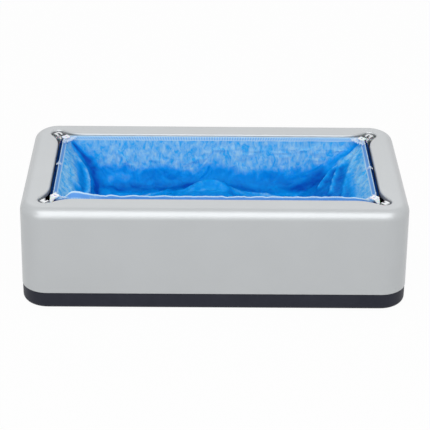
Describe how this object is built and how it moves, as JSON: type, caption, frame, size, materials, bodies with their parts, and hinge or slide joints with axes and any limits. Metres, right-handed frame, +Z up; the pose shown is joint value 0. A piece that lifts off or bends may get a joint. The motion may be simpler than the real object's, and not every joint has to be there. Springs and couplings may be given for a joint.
{
  "type": "shoe cover dispenser",
  "caption": "Open-topped floor dispenser that holds a film shoe cover stretched over its rim by sprung clips in the corners, for putting on by stepping in.",
  "frame": {"origin": "middle of the footprint, on the floor that the rubber feet stand on", "axes": "+X along the length to the right, -Y towards the front, +Z up out of the foot opening"},
  "size_m": [0.43, 0.23, 0.124],
  "materials": {
    "housing_abs": "silver-grey satin paint on moulded ABS",
    "tray_abs": "blue-black fine texture",
    "foot_rubber": "matt",
    "rail_alloy": "clear anodised extrusion",
    "spring_steel": "bright stamped strip and wire",
    "screw_steel": "zinc plated",
    "follower_nylon": "grey nylon",
    "buckle_pe": "milky polyethylene",
    "cover_film": "thin embossed blue film",
    "pack_film": "folded blue film"
  },
  "bodies": {
    "dispenser": {"base_tray": "tray_abs", "housing": "housing_abs", "rubber_feet": "foot_rubber", "housing_screws": "screw_steel", "seat_screws": "screw_steel", "clip_rivets": "screw_steel", "guide_rail_fl": "rail_alloy", "guide_rail_fr": "rail_alloy", "guide_rail_bl": "rail_alloy", "guide_rail_br": "rail_alloy", "spring_clip_fl": "spring_steel", "spring_clip_fr": "spring_steel", "spring_clip_bl": "spring_steel", "spring_clip_br": "spring_steel", "spring_seat_fl": "follower_nylon", "spring_seat_fr": "follower_nylon", "spring_seat_bl": "follower_nylon", "spring_seat_br": "follower_nylon", "lift_spring_fl": "spring_steel", "lift_spring_fr": "spring_steel", "lift_spring_bl": "spring_steel", "lift_spring_br": "spring_steel", "top_buckle_fl": "buckle_pe", "top_buckle_fr": "buckle_pe", "top_buckle_bl": "buckle_pe", "top_buckle_br": "buckle_pe", "top_cover": "cover_film"},
    "follower_fl": {"pusher_fl": "follower_nylon", "buckle_stack_fl": "buckle_pe", "cover_pack": "pack_film"},
    "follower_fr": {"pusher_fr": "follower_nylon", "buckle_stack_fr": "buckle_pe"},
    "follower_bl": {"pusher_bl": "follower_nylon", "buckle_stack_bl": "buckle_pe"},
    "follower_br": {"pusher_br": "follower_nylon", "buckle_stack_br": "buckle_pe"}
  },
  "joints": [
    {"name": "follower_fl_slide", "type": "slide", "parent": "dispenser", "child": "follower_fl", "axis": [0, 0, 1], "range_m": [-0.034, 0], "stiffness_N_per_m": 60, "springref_m": 0.06, "deforming": ["lift_spring_fl"]},
    {"name": "follower_fr_slide", "type": "slide", "parent": "dispenser", "child": "follower_fr", "axis": [0, 0, 1], "range_m": [-0.034, 0], "stiffness_N_per_m": 60, "springref_m": 0.06, "deforming": ["lift_spring_fr"]},
    {"name": "follower_bl_slide", "type": "slide", "parent": "dispenser", "child": "follower_bl", "axis": [0, 0, 1], "range_m": [-0.034, 0], "stiffness_N_per_m": 60, "springref_m": 0.06, "deforming": ["lift_spring_bl"]},
    {"name": "follower_br_slide", "type": "slide", "parent": "dispenser", "child": "follower_br", "axis": [0, 0, 1], "range_m": [-0.034, 0], "stiffness_N_per_m": 60, "springref_m": 0.06, "deforming": ["lift_spring_br"]}
  ],
  "couplings": [
    {"joint": "follower_fr_slide", "follows": "follower_fl_slide", "ratio": 1},
    {"joint": "follower_bl_slide", "follows": "follower_fl_slide", "ratio": 1},
    {"joint": "follower_br_slide", "follows": "follower_fl_slide", "ratio": 1}
  ]
}
